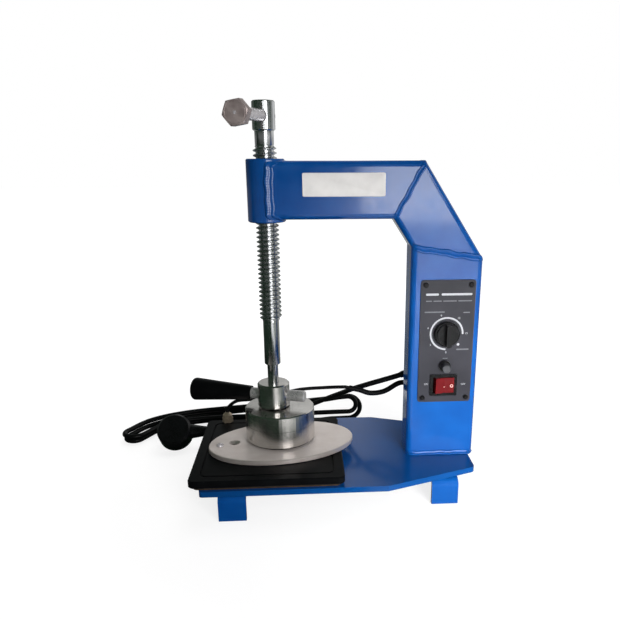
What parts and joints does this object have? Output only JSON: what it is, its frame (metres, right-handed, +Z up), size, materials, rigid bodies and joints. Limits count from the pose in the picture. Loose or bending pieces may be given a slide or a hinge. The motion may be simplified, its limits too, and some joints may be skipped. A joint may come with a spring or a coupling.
{
  "type": "tire vulcanizer",
  "caption": "Bench tyre vulcanizer: welded C-frame, hand-turned screw spindle, press head, oval plate on a heated plate, timer and switch panel",
  "frame": {"origin": "on the floor, in the middle of the machine's footprint without its cords", "axes": "+X from the spindle to the column, -Y to the operator, +Z up along the spindle"},
  "size_m": [0.4523, 0.3052, 0.4314],
  "materials": {
    "blue_enamel": "glossy blue enamel",
    "chrome": "bright plated",
    "brushed_steel": "turned and polished",
    "bare_steel": "dark, bare steel",
    "milled_aluminium": "milled, pale",
    "bronze": "machined bronze",
    "brass": "machined brass",
    "black_coating": "smooth black coating",
    "insulation": "pressed fibre board",
    "heating_element": "dark metal sheath",
    "panel_grey": "satin dark grey",
    "black_plastic": "moulded black plastic",
    "grip_rubber": "black dipped grip",
    "red_plastic": "glossy red",
    "fuse_glass": "clear glass tube",
    "cord_jacket": "matt black jacket"
  },
  "bodies": {
    "frame": {"base_plate": "blue_enamel", "left_foot_strap": "blue_enamel", "right_foot_strap": "blue_enamel", "column_tube": "blue_enamel", "diagonal_tube": "blue_enamel", "arm_tube": "blue_enamel", "spindle_boss": "blue_enamel", "threaded_bush": "bronze", "control_panel": "panel_grey", "panel_screw_1": "black_plastic", "panel_screw_2": "black_plastic", "panel_screw_3": "black_plastic", "panel_screw_4": "black_plastic", "timer_body": "black_plastic", "fuse_holder": "black_plastic", "switch_housing": "black_plastic", "mains_gland": "black_plastic", "lead_gland": "black_plastic", "insulation_board": "insulation", "heater_plate": "black_coating", "heater_element": "heating_element", "heater_bolt_1": "brushed_steel", "heater_bolt_2": "brushed_steel", "heater_bolt_3": "brushed_steel", "heater_bolt_4": "brushed_steel", "heater_gland": "brass", "mains_cord_lead": "cord_jacket", "mains_cord_hank": "cord_jacket", "mains_cord_tail": "cord_jacket", "plug_body": "black_plastic", "plug_pin_left": "brass", "plug_pin_right": "brass", "heater_lead_sleeve": "cord_jacket", "heater_lead": "cord_jacket"},
    "press_head": {"press_cap": "brushed_steel", "press_foot": "brushed_steel", "press_screw_1": "bare_steel", "press_screw_2": "bare_steel", "press_screw_3": "bare_steel", "thrust_washer": "bronze"},
    "spindle_group": {"spindle": "chrome", "spindle_head": "chrome", "hub_block": "chrome", "lever_rod": "chrome", "lever_grip": "grip_rubber"},
    "tee_bar_group": {"tee_bar": "chrome", "tee_bar_hex_end": "bare_steel", "tee_bar_stop": "chrome"},
    "loose_plate": {"oval_plate": "milled_aluminium", "oval_plate_screw": "chrome"},
    "timer_dial": {"timer_knob": "black_plastic", "timer_shaft": "brushed_steel"},
    "fuse": {"fuse_cap": "black_plastic", "fuse_cartridge": "fuse_glass"},
    "rocker": {"rocker_button": "red_plastic"}
  },
  "joints": [
    {"name": "press_lift", "type": "slide", "parent": "frame", "child": "press_head", "axis": [0, 0, 1], "range_m": [0, 0.1]},
    {"name": "spindle_turn", "type": "hinge", "parent": "press_head", "child": "spindle_group", "pos_m": [-0.06782, 0, 0.1], "axis": [0, 0, 1], "range_deg": [0, 7200]},
    {"name": "tee_bar_slide", "type": "slide", "parent": "spindle_group", "child": "tee_bar_group", "axis": [0.2147, 0.9763, 0.0279], "range_m": [0, 0.061]},
    {"name": "plate_removal", "type": "slide", "parent": "frame", "child": "loose_plate", "axis": [0, -1, 0], "range_m": [0, 0.2]},
    {"name": "timer_turn", "type": "hinge", "parent": "frame", "child": "timer_dial", "pos_m": [0.12978, -0.03, 0.1851], "axis": [0, 1, 0], "range_deg": [-50, 270]},
    {"name": "fuse_removal", "type": "slide", "parent": "frame", "child": "fuse", "axis": [0, -1, 0], "range_m": [0, 0.03]},
    {"name": "rocker_tip", "type": "hinge", "parent": "frame", "child": "rocker", "pos_m": [0.12838, -0.0181, 0.1241], "axis": [0, 0, 1], "range_deg": [-18, 0]}
  ],
  "couplings": [
    {"joint": "press_lift", "follows": "spindle_turn", "m_per_rad": 0.00079577}
  ]
}
